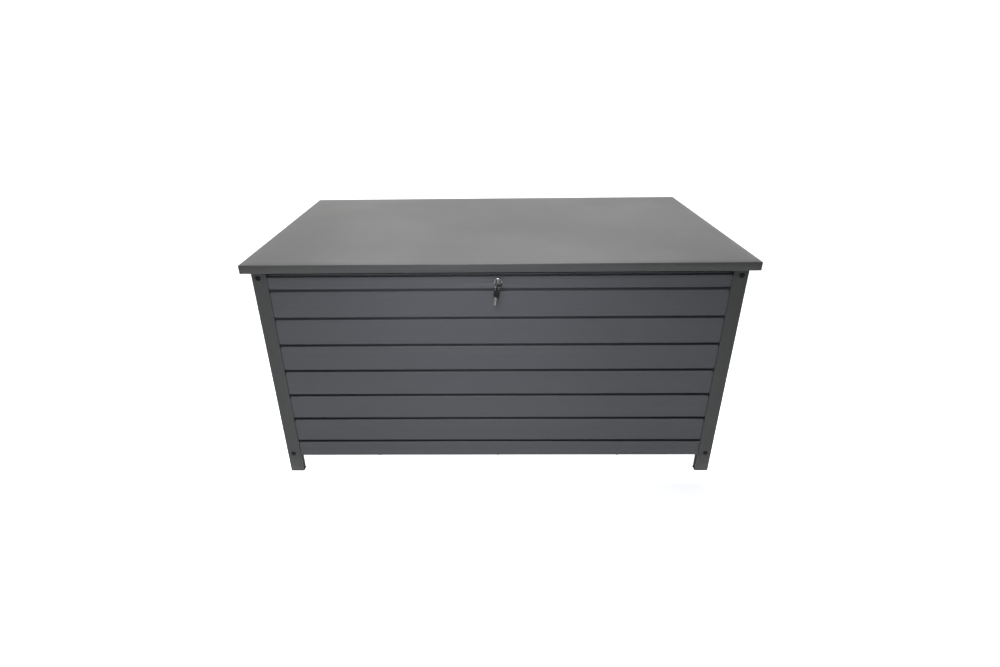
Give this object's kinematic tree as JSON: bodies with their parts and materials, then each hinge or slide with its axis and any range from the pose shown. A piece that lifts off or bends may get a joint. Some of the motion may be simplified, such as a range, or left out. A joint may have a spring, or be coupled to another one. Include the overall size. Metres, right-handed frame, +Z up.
{
  "type": "deck storage box",
  "caption": "Free-standing deck storage box of grey powder-coated boards between corner posts, with a flat overhanging hinged lid on gas struts and a front cam lock with keys.",
  "frame": {"origin": "under the middle of the whole object's box, on the surface that the feet stand on", "axes": "+X to the right along the box, seen from the lock side; +Y from the lock side to the hinge side; +Z up"},
  "size_m": [1.2, 0.633, 0.6275],
  "materials": {
    "frame_coat": "satin",
    "board_coat": "satin",
    "lid_coat": "satin",
    "bare_aluminium": "satin",
    "zinc_steel": "satin",
    "chrome": "polished",
    "strut_black": "gloss",
    "black_plastic": "matte",
    "floor_plastic": "matte",
    "seal_rubber": "matte"
  },
  "bodies": {
    "box": {"front_left_post": "frame_coat", "front_right_post": "frame_coat", "back_left_post": "frame_coat", "back_right_post": "frame_coat", "front_bottom_rail": "board_coat", "back_bottom_rail": "board_coat", "left_bottom_rail": "board_coat", "right_bottom_rail": "board_coat", "front_top_rail": "board_coat", "back_top_rail": "board_coat", "left_top_rail": "board_coat", "right_top_rail": "board_coat", "front_board_1": "board_coat", "front_board_2": "board_coat", "front_board_3": "board_coat", "front_board_4": "board_coat", "front_board_5": "board_coat", "front_board_6": "board_coat", "back_boards": "board_coat", "left_boards": "board_coat", "right_boards": "board_coat", "feet": "black_plastic", "post_top_caps": "black_plastic", "bolt_caps": "black_plastic", "frame_bolts": "zinc_steel", "corner_brackets": "zinc_steel", "bracket_screws": "zinc_steel", "panel_screws": "zinc_steel", "bearer_screws": "zinc_steel", "hinge_box_leaves": "zinc_steel", "hinge_pins": "zinc_steel", "hinge_box_screws": "zinc_steel", "strut_bars": "zinc_steel", "strut_bar_screws": "zinc_steel", "strut_box_pins": "zinc_steel", "lock_nut": "zinc_steel", "floor_bearers": "bare_aluminium", "floor_panel": "floor_plastic", "weather_seal": "seal_rubber", "lock_body": "chrome"},
    "lid": {"lid_skin": "lid_coat", "lid_frame": "bare_aluminium", "lid_ribs": "bare_aluminium", "lid_lining": "bare_aluminium", "lid_screws": "zinc_steel", "hinge_lid_leaves": "zinc_steel", "strut_lid_brackets": "zinc_steel", "strike_plate": "zinc_steel"},
    "left_cylinder": {"left_strut_cylinder": "strut_black"},
    "left_rod": {"left_strut_rod": "chrome"},
    "right_cylinder": {"right_strut_cylinder": "strut_black"},
    "right_rod": {"right_strut_rod": "chrome"},
    "lock_barrel": {"lock_plug": "chrome", "lock_cam": "zinc_steel", "lock_cam_screw": "zinc_steel"},
    "key": {"key_head": "black_plastic", "key_blade": "zinc_steel"},
    "key_ring": {"key_ring": "chrome"},
    "spare_key": {"spare_key_head": "black_plastic", "spare_key_blade": "zinc_steel"}
  },
  "joints": [
    {"name": "lid_hinge", "type": "hinge", "parent": "box", "child": "lid", "pos_m": [0, 0.30114, 0.6022], "axis": [-1, 0, 0], "range_deg": [0, 80]},
    {"name": "left_cylinder_pivot", "type": "hinge", "parent": "box", "child": "left_cylinder", "pos_m": [-0.535, 0.23125, 0.36217], "axis": [-1, 0, 0], "range_deg": [0, 40]},
    {"name": "left_rod_pivot", "type": "hinge", "parent": "lid", "child": "left_rod", "pos_m": [-0.535, 0.05126, 0.5945], "axis": [-1, 0, 0], "range_deg": [-40, 0]},
    {"name": "right_cylinder_pivot", "type": "hinge", "parent": "box", "child": "right_cylinder", "pos_m": [0.535, 0.23125, 0.36217], "axis": [-1, 0, 0], "range_deg": [0, 40]},
    {"name": "right_rod_pivot", "type": "hinge", "parent": "lid", "child": "right_rod", "pos_m": [0.535, 0.05126, 0.5945], "axis": [-1, 0, 0], "range_deg": [-40, 0]},
    {"name": "lock_turn", "type": "hinge", "parent": "box", "child": "lock_barrel", "pos_m": [0, -0.28606, 0.575], "axis": [0, 1, 0], "range_deg": [0, 90]},
    {"name": "key_slide", "type": "slide", "parent": "lock_barrel", "child": "key", "axis": [0, -1, 0], "range_m": [0, 0.022]},
    {"name": "ring_swing", "type": "hinge", "parent": "key", "child": "key_ring", "pos_m": [0, -0.30626, 0.575], "axis": [1, 0, 0], "range_deg": [-12, 5]},
    {"name": "spare_key_swing", "type": "hinge", "parent": "key_ring", "child": "spare_key", "pos_m": [-0.00328, -0.31016, 0.56282], "axis": [0.6428, 0.766, 0], "range_deg": [-20, 20]}
  ],
  "couplings": [
    {"joint": "left_cylinder_pivot", "follows": "lid_hinge", "ratio": 0.5},
    {"joint": "left_rod_pivot", "follows": "lid_hinge", "ratio": -0.5},
    {"joint": "right_cylinder_pivot", "follows": "lid_hinge", "ratio": 0.5},
    {"joint": "right_rod_pivot", "follows": "lid_hinge", "ratio": -0.5}
  ]
}
